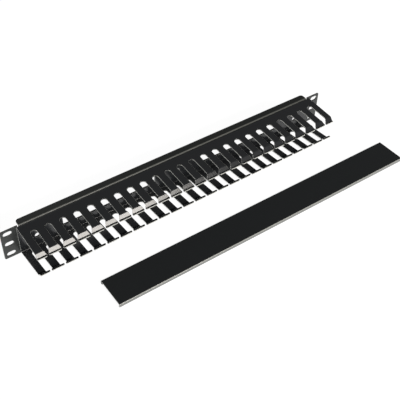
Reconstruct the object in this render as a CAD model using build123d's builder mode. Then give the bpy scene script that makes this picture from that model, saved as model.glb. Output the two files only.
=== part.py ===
"""Horizontal cable manager for a 19-inch rack, one unit high, with its push-fit cover laid in front.

Frame: the origin is the centre of the rack-mounting plane, the rear face of the two ears.
X runs along the rack's width, -Y points out of the rack towards the fingers, and Z is up. Millimetres.
"""

import os

from build123d import *

# Rack standard: panel width, hole lines and hole pitch of a 19-inch rack
PANEL_WIDTH = 482.6
HOLE_LINE_INSET = 8.75
HOLE_PITCH = 15.875
HOLES_PER_EAR = 3

# Sheet thicknesses
PLATE_THICKNESS = 1.5
DUCT_THICKNESS = 1.2
COVER_THICKNESS = 1.0

# Back plate with its two ears and its rearward top flange
PLATE_HEIGHT = 43.7
EAR_WIDTH = 19.8
EAR_CORNER_RADIUS = 1.8
EAR_SLOT_LENGTH = 11.0
EAR_SLOT_HEIGHT = 6.5
FLANGE_INSET = 3.5
FLANGE_DEPTH = 10.2
FLANGE_CORNER_RADIUS = 4.0
PLATE_BEND_RADIUS = 2.3
RELIEF_WIDTH = 1.6
RELIEF_DEPTH = 2.8

# Finger duct: one folded sheet between the ears, open at both ends
DUCT_BEND_RADIUS = 2.4

# Slots of both rows. Depths are measured forwards from the duct's rear face.
SLOT_COUNT = 24
SLOT_WIDTH = 8.2
END_FINGER_WIDTH = 9.25
UPPER_SLOT_REAR_DEPTH = 15.0
LOWER_SLOT_REAR_DEPTH = 7.0
MOUTH_WIDTH = 2.0
FLARE_LEAD = 1.2
TIP_CORNER = 1.2

# Folds of both rows: the walls lean together up to the knee, then a sloped lip and a short level hook
KNEE_DEPTH = 46.6
KNEE_LEAN = 3.5
KNEE_RADIUS = 2.4
LIP_RUN = 4.0
LIP_DROP = 4.6
HEEL_RADIUS = 0.8
HOOK_LENGTH = 2.2

# Cable windows through the duct's web and the back plate, and the three round holes beside them
WINDOW_LENGTH = 130.0
WINDOW_HEIGHT = 15.7
WINDOW_INSET = 56.5
WINDOW_CORNER_RADIUS = 3.0
SIDE_HOLE_INSET = 23.0
SIDE_HOLE_DIAMETER = 7.0
SIDE_HOLE_DROP = 4.6
MIDDLE_HOLE_DIAMETER = 5.0
MIDDLE_HOLE_DROP = 2.2

# Cover, and the place where it lies on the same surface as the duct
COVER_INSET = 0.85
COVER_LIP_HEIGHT = 5.0
COVER_HEM_REACH = 2.6
COVER_BEND_RADIUS = 1.3
COVER_SHIFT = 52.8
COVER_FORWARD = 117.2
COVER_YAW = -0.48

# Cutting tools run past the sheet by this much
OVERCUT = 2.0

half_height = PLATE_HEIGHT / 2
hole_line_span = PANEL_WIDTH - 2 * HOLE_LINE_INSET
duct_rear = -PLATE_THICKNESS
duct_width = PANEL_WIDTH - 2 * EAR_WIDTH
duct_left = -duct_width / 2
flange_length = duct_width - 2 * FLANGE_INSET
window_spacing = duct_width - 2 * WINDOW_INSET - WINDOW_LENGTH
side_hole_spacing = duct_width - 2 * SIDE_HOLE_INSET
slot_pitch = (duct_width - 2 * END_FINGER_WIDTH - SLOT_WIDTH) / (SLOT_COUNT - 1)
half_slot = SLOT_WIDTH / 2
half_mouth = MOUTH_WIDTH / 2

# Depths and levels of the folds; the lower row mirrors the upper one
heel_depth = KNEE_DEPTH + LIP_RUN
front_depth = heel_depth + HOOK_LENGTH
knee_level = half_height - KNEE_LEAN
hook_level = knee_level - LIP_DROP


def forward(depth: float) -> float:
    """Y of a depth measured forwards from the duct's rear face."""
    return duct_rear - depth


def slot_plan(rear_depth: float) -> Sketch:
    """Plan of one slot: round rear end, straight sides, then a flare down to the narrow mouth."""
    rear = forward(rear_depth + half_slot)
    front = forward(front_depth)
    with BuildSketch() as plan:
        with BuildLine():
            Polyline(
                (half_slot, rear),
                (half_slot, forward(KNEE_DEPTH - FLARE_LEAD)),
                (half_mouth, forward(heel_depth)),
                (half_mouth, front + TIP_CORNER),
                (half_mouth + TIP_CORNER, front),
                (half_mouth + TIP_CORNER, front - OVERCUT),
                (0, front - OVERCUT),
            )
            mirror(about=Plane.YZ)
            ThreePointArc((half_slot, rear), (0, rear + half_slot), (-half_slot, rear))
        make_face()
    return plan.sketch


def wall_openings() -> Sketch:
    """Elevation of the two cable windows and the round holes, the same in both sheets."""
    with BuildSketch() as openings:
        with GridLocations(window_spacing, 0, 2, 1):
            RectangleRounded(WINDOW_LENGTH, WINDOW_HEIGHT, WINDOW_CORNER_RADIUS)
        with Locations((0, -SIDE_HOLE_DROP)):
            with GridLocations(side_hole_spacing, 0, 2, 1):
                Circle(SIDE_HOLE_DIAMETER / 2)
        with Locations((0, -MIDDLE_HOLE_DROP)):
            Circle(MIDDLE_HOLE_DIAMETER / 2)
    return openings.sketch


# Back plate: flat wall and ears
with BuildPart() as back_plate:
    with BuildSketch(Plane.XZ):
        RectangleRounded(PANEL_WIDTH, PLATE_HEIGHT, EAR_CORNER_RADIUS)
        with GridLocations(hole_line_span, HOLE_PITCH, 2, HOLES_PER_EAR):
            SlotOverall(EAR_SLOT_LENGTH, EAR_SLOT_HEIGHT, mode=Mode.SUBTRACT)
        add(wall_openings(), mode=Mode.SUBTRACT)
    extrude(amount=PLATE_THICKNESS)

    # Strip of the wall that the bend takes up, and the relief notch at each end of it
    with BuildSketch(Plane.XZ):
        with Locations((0, half_height - RELIEF_DEPTH / 2)):
            Rectangle(flange_length + 2 * RELIEF_WIDTH, RELIEF_DEPTH)
    extrude(amount=PLATE_THICKNESS + OVERCUT, both=True, mode=Mode.SUBTRACT)

    # Bend and rearward flange
    with BuildSketch(Plane.YZ):
        with BuildLine():
            FilletPolyline(
                (duct_rear, half_height - RELIEF_DEPTH),
                (duct_rear, half_height),
                (duct_rear + FLANGE_DEPTH, half_height),
                radius=PLATE_BEND_RADIUS,
            )
            offset(amount=PLATE_THICKNESS, side=Side.RIGHT)
        make_face()
    extrude(amount=flange_length / 2, both=True)
    flange_corners = back_plate.edges().filter_by(Axis.Z).group_by(Axis.Y)[-1]
    fillet(flange_corners, radius=FLANGE_CORNER_RADIUS)
back_plate.part.label = "back_plate"


# Finger duct: folded section along the whole width
with BuildPart() as finger_duct:
    with BuildSketch(Plane.YZ.offset(duct_left)):
        with BuildLine():
            FilletPolyline(
                (forward(front_depth), -hook_level),
                (forward(heel_depth), -hook_level),
                (forward(KNEE_DEPTH), -knee_level),
                (duct_rear, -half_height),
                (duct_rear, half_height),
                (forward(KNEE_DEPTH), knee_level),
                (forward(heel_depth), hook_level),
                (forward(front_depth), hook_level),
                radius=[HEEL_RADIUS, KNEE_RADIUS, DUCT_BEND_RADIUS, DUCT_BEND_RADIUS, KNEE_RADIUS, HEEL_RADIUS],
            )
            offset(amount=DUCT_THICKNESS, side=Side.LEFT)
        make_face()
    extrude(amount=duct_width)

    # Upper row of slots, cut from the mid-plane upwards
    with BuildSketch(Plane.XY):
        with GridLocations(slot_pitch, 0, SLOT_COUNT, 1):
            add(slot_plan(UPPER_SLOT_REAR_DEPTH))
    extrude(amount=PLATE_HEIGHT, mode=Mode.SUBTRACT)

    # Lower row of slots, cut from the mid-plane downwards
    with BuildSketch(Plane.XY):
        with GridLocations(slot_pitch, 0, SLOT_COUNT, 1):
            add(slot_plan(LOWER_SLOT_REAR_DEPTH))
    extrude(amount=-PLATE_HEIGHT, mode=Mode.SUBTRACT)

    # Windows and holes through the web
    with BuildSketch(Plane.XZ.offset(PLATE_THICKNESS)):
        add(wall_openings())
    extrude(amount=DUCT_THICKNESS + OVERCUT, both=True, mode=Mode.SUBTRACT)
finger_duct.part.label = "finger_duct"


# Push-fit cover: a flat strip with both long edges folded down and hemmed inwards
cover_depth = PLATE_HEIGHT - 2 * COVER_INSET
cover_plane = Plane(
    origin=(COVER_SHIFT, -COVER_FORWARD, -half_height), x_dir=(0, 1, 0), z_dir=(1, 0, 0)
).rotated((0, 0, COVER_YAW))
with BuildPart() as snap_cover:
    with BuildSketch(cover_plane):
        with BuildLine():
            FilletPolyline(
                (COVER_HEM_REACH - cover_depth / 2, 0),
                (-cover_depth / 2, 0),
                (-cover_depth / 2, COVER_LIP_HEIGHT),
                (cover_depth / 2, COVER_LIP_HEIGHT),
                (cover_depth / 2, 0),
                (cover_depth / 2 - COVER_HEM_REACH, 0),
                radius=COVER_BEND_RADIUS,
            )
            offset(amount=COVER_THICKNESS, side=Side.RIGHT)
        make_face()
    extrude(amount=duct_width / 2, both=True)
snap_cover.part.label = "snap_cover"


os.makedirs("parts", exist_ok=True)
export_step(back_plate.part, "parts/back_plate.step")
export_step(finger_duct.part, "parts/finger_duct.step")
export_step(snap_cover.part, "parts/snap_cover.step")
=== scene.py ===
"""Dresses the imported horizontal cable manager: powder coat on all three sheets, studio lamps and camera."""

import logging
import math
from dataclasses import dataclass
from enum import Enum

import bpy
from mathutils import Matrix, Vector


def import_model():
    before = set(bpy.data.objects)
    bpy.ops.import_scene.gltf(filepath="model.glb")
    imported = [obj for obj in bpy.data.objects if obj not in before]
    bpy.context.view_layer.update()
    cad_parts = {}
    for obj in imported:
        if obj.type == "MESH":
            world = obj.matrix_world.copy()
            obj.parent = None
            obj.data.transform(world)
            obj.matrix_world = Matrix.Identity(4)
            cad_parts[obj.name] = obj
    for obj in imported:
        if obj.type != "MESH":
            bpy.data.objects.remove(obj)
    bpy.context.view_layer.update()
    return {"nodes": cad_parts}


LOG = logging.getLogger("cable_manager")
MM = 0.001
WHITE = "#ffffff"

# Polyester resin, the base of the coat
POLYESTER_IOR = 1.5

# Rays that the rounded normal takes at each point
BEVEL_SAMPLES = 4

# Blender's colour mix node is addressed by number, because its sockets' names repeat
MIX_FACTOR = 0
MIX_FROM = 6
MIX_TO = 7
MIX_RESULT = 2


def linear(code: str) -> tuple[float, float, float, float]:
    """Turns an sRGB hex colour into linear RGBA.

    Args:
        code: the colour as "#rrggbb".

    Returns:
        The four linear channels, with alpha 1.
    """
    channels = [int(code[start : start + 2], 16) / 255 for start in (1, 3, 5)]
    red, green, blue = (c / 12.92 if c <= 0.04045 else ((c + 0.055) / 1.055) ** 2.4 for c in channels)
    return red, green, blue, 1.0


def add_node(
    tree: bpy.types.NodeTree,
    kind: str,
    settings: dict[str | int, object] | None = None,
    links: dict[str | int, bpy.types.NodeSocket] | None = None,
) -> bpy.types.Node:
    """Adds one shader node.

    Args:
        tree: the node tree that gets the node.
        kind: the node's type, such as "ShaderNodeTexNoise".
        settings: properties and socket values; a key that is not a property names or numbers an input.
        links: name or number of an input to the output socket that feeds it.

    Returns:
        The new node.
    """
    node = tree.nodes.new(kind)
    for key, value in (settings or {}).items():
        if isinstance(key, str) and hasattr(node, key):
            setattr(node, key, value)
        else:
            node.inputs[key].default_value = value
    for key, socket in (links or {}).items():
        tree.links.new(socket, node.inputs[key])
    return node


class Sheen(Enum):
    """Roughness of a powder coat, by how far it flowed out before it set."""

    SATIN = 0.2
    SILK = 0.36


@dataclass(frozen=True)
class Fade:
    """Two values of a measure: a mask is 0 at the first and at its full strength from the second on."""

    none_at: float
    full_at: float


# Masks for the painted highlight, by the direction the surface faces
# Cosine between the rounded and the true normal, which differ only near an edge
EDGE_FADE = Fade(0.995, 0.8)

# X of the normal on the sheared faces, which look to the left
CUT_FADE = Fade(-0.6, -0.95)

# Y of the normal on the faces that look straight forwards, past the -0.75 of the sloped lips
FRONT_FADE = Fade(-0.92, -0.99)

# Y times Z of the normal, which is -0.5 half-way round a bend from front to top
CROWN_FADE = Fade(-0.2, -0.45)


@dataclass(frozen=True)
class PowderCoat:
    """Polyester powder coat, sprayed dry on steel sheet and baked.

    It reads as near-black plastic skin: a soft, slightly pebbled gloss from the orange peel, with a paler
    painted highlight where the sheet was sheared, on rounded edges, on front faces and on the crown of each
    bend.
    """

    name: str
    colour: str
    # Pale colour painted on as a highlight where edges, cut faces, front faces and crowns catch light
    painted_highlight_colour: str
    sheen: Sheen

    # Orange peel: bumps about a millimetre across, in the coat and not in the steel
    peel_size_mm: float = 1.3
    peel_depth_mm: float = 0.0006
    peel_strength: float = 0.5
    peel_detail: float = 2.0

    # Slow drift of the film's thickness over a hand's breadth, which moves its roughness either way
    drift_size_mm: float = 70.0
    drift_detail: float = 3.0
    drift_of_roughness: float = 0.03

    # Share of the painted highlight colour on rounded edges, sheared faces, front faces and crowns
    edge_radius_mm: float = 0.45
    edge_strength: float = 0.8
    cut_strength: float = 1.0
    front_strength: float = 0.0
    crown_strength: float = 0.0

    # The front faces count only ahead of this Y
    front_from_mm: float = -48.0

    def build(self) -> bpy.types.Material:
        """Builds the coat's material.

        Returns:
            The new material.
        """
        material = bpy.data.materials.new(self.name)
        material.use_nodes = True
        tree = material.node_tree
        tree.nodes.clear()
        geometry = add_node(tree, "ShaderNodeNewGeometry")
        bevel = add_node(
            tree, "ShaderNodeBevel", {"samples": BEVEL_SAMPLES, "Radius": self.edge_radius_mm * MM}
        )
        place = geometry.outputs["Position"]
        rounded = bevel.outputs["Normal"]
        # Painted highlight: the share of the pale colour mixed into the base colour
        highlight_share = self._painted_highlight(tree, place, geometry.outputs["Normal"], rounded)
        tint = add_node(
            tree,
            "ShaderNodeMix",
            {"data_type": "RGBA", MIX_FROM: linear(self.colour), MIX_TO: linear(self.painted_highlight_colour)},
            {MIX_FACTOR: highlight_share},
        )
        shader = add_node(
            tree,
            "ShaderNodeBsdfPrincipled",
            {"IOR": POLYESTER_IOR, "Metallic": 0.0},
            {
                "Base Color": tint.outputs[MIX_RESULT],
                "Roughness": self._roughness(tree, place),
                "Normal": self._peel(tree, place, rounded),
            },
        )
        add_node(tree, "ShaderNodeOutputMaterial", links={"Surface": shader.outputs["BSDF"]})
        return material

    def _peel(
        self, tree: bpy.types.NodeTree, place: bpy.types.NodeSocket, rounded: bpy.types.NodeSocket
    ) -> bpy.types.NodeSocket:
        """Raises the orange peel on the rounded surface.

        Args:
            tree: the material's node tree.
            place: the point's position.
            rounded: the normal with its edges rounded.

        Returns:
            The bumped normal.
        """
        bumps = add_node(
            tree,
            "ShaderNodeTexNoise",
            {"Scale": 1 / (self.peel_size_mm * MM), "Detail": self.peel_detail},
            {"Vector": place},
        )
        skin = add_node(
            tree,
            "ShaderNodeBump",
            {"Strength": self.peel_strength, "Distance": self.peel_depth_mm * MM},
            {"Height": bumps.outputs["Fac"], "Normal": rounded},
        )
        return skin.outputs["Normal"]

    def _roughness(self, tree: bpy.types.NodeTree, place: bpy.types.NodeSocket) -> bpy.types.NodeSocket:
        """Lets the sheen drift a little across the sheet.

        Args:
            tree: the material's node tree.
            place: the point's position.

        Returns:
            The roughness.
        """
        drift = add_node(
            tree,
            "ShaderNodeTexNoise",
            {"Scale": 1 / (self.drift_size_mm * MM), "Detail": self.drift_detail},
            {"Vector": place},
        )
        gloss = add_node(
            tree,
            "ShaderNodeMapRange",
            {
                "To Min": self.sheen.value - self.drift_of_roughness,
                "To Max": self.sheen.value + self.drift_of_roughness,
            },
            {"Value": drift.outputs["Fac"]},
        )
        return gloss.outputs["Result"]

    def _painted_highlight(
        self,
        tree: bpy.types.NodeTree,
        place: bpy.types.NodeSocket,
        normal: bpy.types.NodeSocket,
        rounded: bpy.types.NodeSocket,
    ) -> bpy.types.NodeSocket:
        """Finds where the highlight is painted: the largest of the four masks.

        Args:
            tree: the material's node tree.
            place: the point's position.
            normal: the true normal.
            rounded: the normal with its edges rounded.

        Returns:
            The share of the painted highlight colour, from 0 to 1.
        """
        turn = add_node(tree, "ShaderNodeVectorMath", {"operation": "DOT_PRODUCT"}, {0: rounded, 1: normal})
        facing = add_node(tree, "ShaderNodeSeparateXYZ", links={"Vector": normal})
        where = add_node(tree, "ShaderNodeSeparateXYZ", links={"Vector": place})
        ahead = add_node(
            tree,
            "ShaderNodeMath",
            {"operation": "LESS_THAN", 1: self.front_from_mm * MM},
            {0: where.outputs["Y"]},
        )
        front = add_node(
            tree,
            "ShaderNodeMath",
            {"operation": "MULTIPLY"},
            {0: facing.outputs["Y"], 1: ahead.outputs["Value"]},
        )
        crown = add_node(
            tree,
            "ShaderNodeMath",
            {"operation": "MULTIPLY"},
            {0: facing.outputs["Y"], 1: facing.outputs["Z"]},
        )
        # Each mask paints the highlight where that kind of face catches light
        masks = []
        for fade, measure, strength in (
            (EDGE_FADE, turn.outputs["Value"], self.edge_strength),
            (CUT_FADE, facing.outputs["X"], self.cut_strength),
            (FRONT_FADE, front.outputs["Value"], self.front_strength),
            (CROWN_FADE, crown.outputs["Value"], self.crown_strength),
        ):
            limits = {"From Min": fade.none_at, "From Max": fade.full_at, "To Min": 0.0, "To Max": strength}
            mask = add_node(tree, "ShaderNodeMapRange", limits, {"Value": measure})
            masks.append(mask.outputs["Result"])
        highlight_share = masks[0]
        for mask in masks[1:]:
            larger = add_node(tree, "ShaderNodeMath", {"operation": "MAXIMUM"}, {0: highlight_share, 1: mask})
            highlight_share = larger.outputs["Value"]
        return highlight_share


# Each coat's second colour is a painted highlight on edges, cut faces, front faces and crowns
PLATE_COAT = PowderCoat("black_powder_coat_plate", "#2b2e2d", "#a3a5a0", Sheen.SILK, crown_strength=0.35)
DUCT_COAT = PowderCoat("black_powder_coat_duct", "#303235", "#e2e3dd", Sheen.SATIN, front_strength=0.9)
COVER_COAT = PowderCoat(
    "black_powder_coat_cover",
    "#25282a",
    "#c6c8c4",
    Sheen.SATIN,
    edge_radius_mm=0.9,
    edge_strength=1.0,
    front_strength=0.35,
    crown_strength=0.9,
    front_from_mm=-120.0,
)


@dataclass(frozen=True)
class Sheet:
    """One folded sheet, which stays as the CAD made it and only gets its coat."""

    node: str
    coat: PowderCoat

    def dress(self, nodes: dict[str, bpy.types.Object]) -> None:
        """Puts the coat on every material slot of the node.

        Args:
            nodes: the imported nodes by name.
        """
        material = self.coat.build()
        for slot in nodes[self.node].material_slots:
            slot.material = material
        LOG.info("%s: %s, roughness %.2f", self.node, self.coat.name, self.coat.sheen.value)


@dataclass(frozen=True)
class CableManager:
    """The three sheets and their coats."""

    sheets: tuple[Sheet, ...] = (
        Sheet("back_plate", PLATE_COAT),
        Sheet("finger_duct", DUCT_COAT),
        Sheet("snap_cover", COVER_COAT),
    )

    def build(self, nodes: dict[str, bpy.types.Object]) -> None:
        """Dresses each sheet in turn.

        Args:
            nodes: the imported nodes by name.
        """
        for sheet in self.sheets:
            sheet.dress(nodes)


@dataclass(frozen=True)
class Softbox:
    """One rectangular studio lamp, aimed at a point of the object. Places and sizes are in metres."""

    name: str
    place: tuple[float, float, float]
    target: tuple[float, float, float]
    width: float
    height: float
    radiance: float
    colour: str = WHITE

    def build(self) -> None:
        """Hangs the lamp; its power follows from its area and the brightness of its face."""
        lamp = bpy.data.lights.new(self.name, "AREA")
        lamp.shape = "RECTANGLE"
        lamp.size = self.width
        lamp.size_y = self.height
        lamp.color = linear(self.colour)[:3]
        lamp.energy = self.radiance * self.width * self.height * math.pi
        box = bpy.data.objects.new(self.name, lamp)
        bpy.context.collection.objects.link(box)
        box.location = self.place
        sight = Vector(self.target) - Vector(self.place)
        box.rotation_euler = sight.to_track_quat("-Z", "Y").to_euler()
        LOG.info("%s: %.2f by %.2f m", self.name, self.width, self.height)


@dataclass(frozen=True)
class Studio:
    """White paper floor, dim room and three soft lamps."""

    floor_level_mm: float = -21.9
    floor_size: float = 8.0
    paper_colour: str = "#8c8c8c"
    paper_glow: float = 0.95
    room_level: float = 0.10
    lamps: tuple[Softbox, ...] = (
        Softbox(
            "front_softbox",
            place=(0.225, -1.22, 0.77),
            target=(0.225, -0.05, 0.02),
            width=0.7,
            height=0.28,
            radiance=21.0,
            colour="#fffaf3",
        ),
        Softbox(
            "rear_softbox",
            place=(-0.05, 1.45, 1.05),
            target=(-0.05, 0.0, 0.02),
            width=1.1,
            height=0.5,
            radiance=0.6,
        ),
        Softbox(
            "left_softbox",
            place=(-1.35, -0.55, 0.30),
            target=(-0.10, -0.03, 0.0),
            width=0.5,
            height=0.4,
            radiance=4.0,
        ),
    )

    def build(self) -> None:
        """Builds the floor, the room and the lamps."""
        self._floor()
        self._room()
        for lamp in self.lamps:
            lamp.build()

    def _floor(self) -> None:
        """Lays the white floor, which keeps a faint shadow."""
        half = self.floor_size / 2
        level = self.floor_level_mm * MM
        mesh = bpy.data.meshes.new("floor")
        corners = [(-half, -half, level), (half, -half, level), (half, half, level), (-half, half, level)]
        mesh.from_pydata(corners, [], [(0, 1, 2, 3)])
        mesh.materials.append(self._paper())
        floor = bpy.data.objects.new("floor", mesh)
        bpy.context.collection.objects.link(floor)
        LOG.info("floor at %.4f m", level)

    def _paper(self) -> bpy.types.Material:
        """Makes matt white paper, which shows as white and throws a soft light up at the object.

        Returns:
            The new material.
        """
        paper = bpy.data.materials.new("white_paper_sweep")
        paper.use_nodes = True
        tree = paper.node_tree
        tree.nodes.clear()
        matt = add_node(tree, "ShaderNodeBsdfDiffuse", {"Color": linear(self.paper_colour)})
        glow = add_node(tree, "ShaderNodeEmission", {"Color": linear(WHITE), "Strength": self.paper_glow})
        both = add_node(
            tree, "ShaderNodeAddShader", links={0: matt.outputs["BSDF"], 1: glow.outputs["Emission"]}
        )
        add_node(tree, "ShaderNodeOutputMaterial", links={"Surface": both.outputs["Shader"]})
        return paper

    def _room(self) -> None:
        """Surrounds the floor with a room that is white to the camera and dim to the object."""
        world = bpy.data.worlds.new("room")
        bpy.context.scene.world = world
        world.use_nodes = True
        tree = world.node_tree
        tree.nodes.clear()
        rays = add_node(tree, "ShaderNodeLightPath")
        dim = add_node(tree, "ShaderNodeBackground", {"Color": linear(WHITE), "Strength": self.room_level})
        white = add_node(tree, "ShaderNodeBackground", {"Color": linear(WHITE), "Strength": 1.0})
        mix = add_node(
            tree,
            "ShaderNodeMixShader",
            links={
                "Fac": rays.outputs["Is Camera Ray"],
                1: dim.outputs["Background"],
                2: white.outputs["Background"],
            },
        )
        add_node(tree, "ShaderNodeOutputWorld", links={"Surface": mix.outputs["Shader"]})


@dataclass(frozen=True)
class Camera:
    """The viewpoint in front of the duct's left end and above it. Angles are in radians."""

    place_mm: tuple[float, float, float] = (-394.32, -570.88, 610.57)
    azimuth: float = 0.6498
    elevation: float = 0.7662
    roll: float = 0.0355
    lens_mm: float = 64.633
    sensor_mm: float = 36.0
    nearest: float = 0.01
    farthest: float = 20.0

    def build(self) -> None:
        """Makes the scene's camera from its place and its three angles."""
        sight = Vector(
            (
                math.sin(self.azimuth) * math.cos(self.elevation),
                math.cos(self.azimuth) * math.cos(self.elevation),
                -math.sin(self.elevation),
            )
        )
        level = sight.cross(Vector((0, 0, 1))).normalized()
        above = level.cross(sight)
        right = level * math.cos(self.roll) + above * math.sin(self.roll)
        up = above * math.cos(self.roll) - level * math.sin(self.roll)
        turn = Matrix((right, up, -sight)).transposed().to_4x4()
        data = bpy.data.cameras.new("camera")
        data.sensor_width = self.sensor_mm
        data.lens = self.lens_mm
        data.clip_start = self.nearest
        data.clip_end = self.farthest
        camera = bpy.data.objects.new("camera", data)
        bpy.context.collection.objects.link(camera)
        camera.matrix_world = Matrix.Translation(Vector(self.place_mm) * MM) @ turn
        bpy.context.scene.camera = camera
        LOG.info("camera at %s mm", self.place_mm)


def main() -> None:
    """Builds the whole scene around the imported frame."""
    logging.basicConfig(level=logging.INFO, format="%(name)s: %(message)s")
    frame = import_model()
    bpy.context.scene.view_settings.view_transform = "Standard"
    Camera().build()
    Studio().build()
    CableManager().build(frame["nodes"])


if __name__ == "__main__":
    main()
